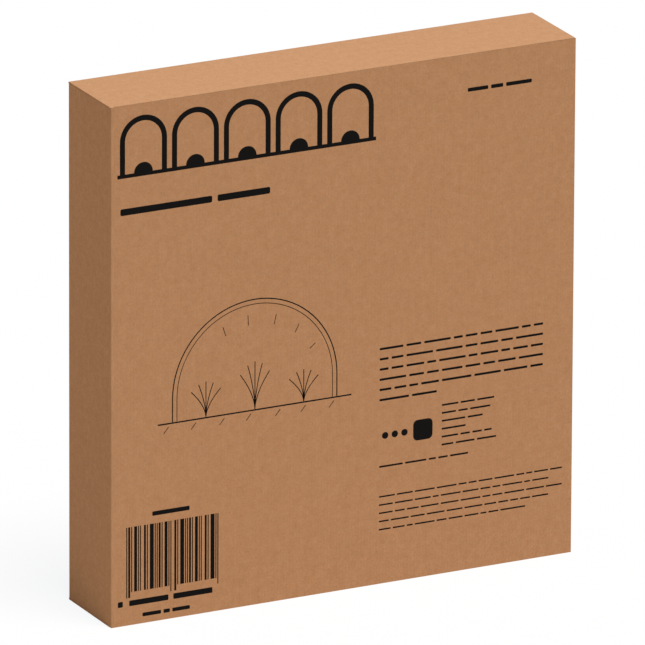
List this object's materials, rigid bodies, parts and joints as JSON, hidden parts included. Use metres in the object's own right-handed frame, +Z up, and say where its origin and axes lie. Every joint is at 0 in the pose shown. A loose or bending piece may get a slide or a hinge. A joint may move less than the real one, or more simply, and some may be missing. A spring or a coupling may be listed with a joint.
{
  "type": "boxed tunnel greenhouse",
  "caption": "Flat upright corrugated carton with a book-style lid, holding a folded garden tunnel of wire hoops and film.",
  "frame": {"origin": "centre of the carton's base, on the surface that it stands on", "axes": "+Z up along the carton's height, +X to the right along its width, -Y out of the printed lid"},
  "size_m": [0.475, 0.088, 0.5],
  "materials": {
    "kraft_board": "matte",
    "hoop_wire": "satin",
    "tunnel_film": "satin",
    "leaflet_paper": "matte"
  },
  "bodies": {
    "carton": {"carton_back_panel": "kraft_board", "carton_left_wall": "kraft_board", "carton_right_wall": "kraft_board", "top_rolled_wall": "kraft_board", "bottom_rolled_wall": "kraft_board", "top_left_corner_tab": "kraft_board", "top_right_corner_tab": "kraft_board", "bottom_left_corner_tab": "kraft_board", "bottom_right_corner_tab": "kraft_board", "hoop_4": "hoop_wire", "hoop_sleeve_4": "tunnel_film"},
    "lid": {"lid_panel": "kraft_board"},
    "tuck_flap": {"lid_tuck_flap": "kraft_board"},
    "third_hoop": {"hoop_3": "hoop_wire", "hoop_sleeve_3": "tunnel_film", "film_bay_3": "tunnel_film", "left_skirt_3": "tunnel_film", "right_skirt_3": "tunnel_film"},
    "second_hoop": {"hoop_2": "hoop_wire", "hoop_sleeve_2": "tunnel_film", "film_bay_2": "tunnel_film", "left_skirt_2": "tunnel_film", "right_skirt_2": "tunnel_film"},
    "first_hoop": {"hoop_1": "hoop_wire", "hoop_sleeve_1": "tunnel_film", "film_bay_1": "tunnel_film", "left_skirt_1": "tunnel_film", "right_skirt_1": "tunnel_film", "instruction_leaflet": "leaflet_paper"}
  },
  "joints": [
    {"name": "lid_hinge", "type": "hinge", "parent": "carton", "child": "lid", "pos_m": [-0.2375, -0.044, 0.25], "axis": [0, 0, -1], "range_deg": [0, 175]},
    {"name": "tuck_crease", "type": "hinge", "parent": "lid", "child": "tuck_flap", "pos_m": [0.2356, -0.0424, 0.25], "axis": [0, 0, -1], "range_deg": [0, 44]},
    {"name": "third_hoop_slide", "type": "slide", "parent": "carton", "child": "third_hoop", "axis": [0, -1, 0], "range_m": [0, 0.034], "deforming": ["film_bay_3", "left_skirt_3", "right_skirt_3"]},
    {"name": "second_hoop_slide", "type": "slide", "parent": "third_hoop", "child": "second_hoop", "axis": [0, -1, 0], "range_m": [0, 0.034], "deforming": ["film_bay_2", "left_skirt_2", "right_skirt_2"]},
    {"name": "first_hoop_slide", "type": "slide", "parent": "second_hoop", "child": "first_hoop", "axis": [0, -1, 0], "range_m": [0, 0.034], "deforming": ["film_bay_1", "left_skirt_1", "right_skirt_1"]}
  ],
  "couplings": [
    {"joint": "tuck_crease", "follows": "lid_hinge", "ratio": 0.25},
    {"joint": "third_hoop_slide", "follows": "lid_hinge", "m_per_rad": 0.011},
    {"joint": "second_hoop_slide", "follows": "lid_hinge", "m_per_rad": 0.011},
    {"joint": "first_hoop_slide", "follows": "lid_hinge", "m_per_rad": 0.011}
  ]
}
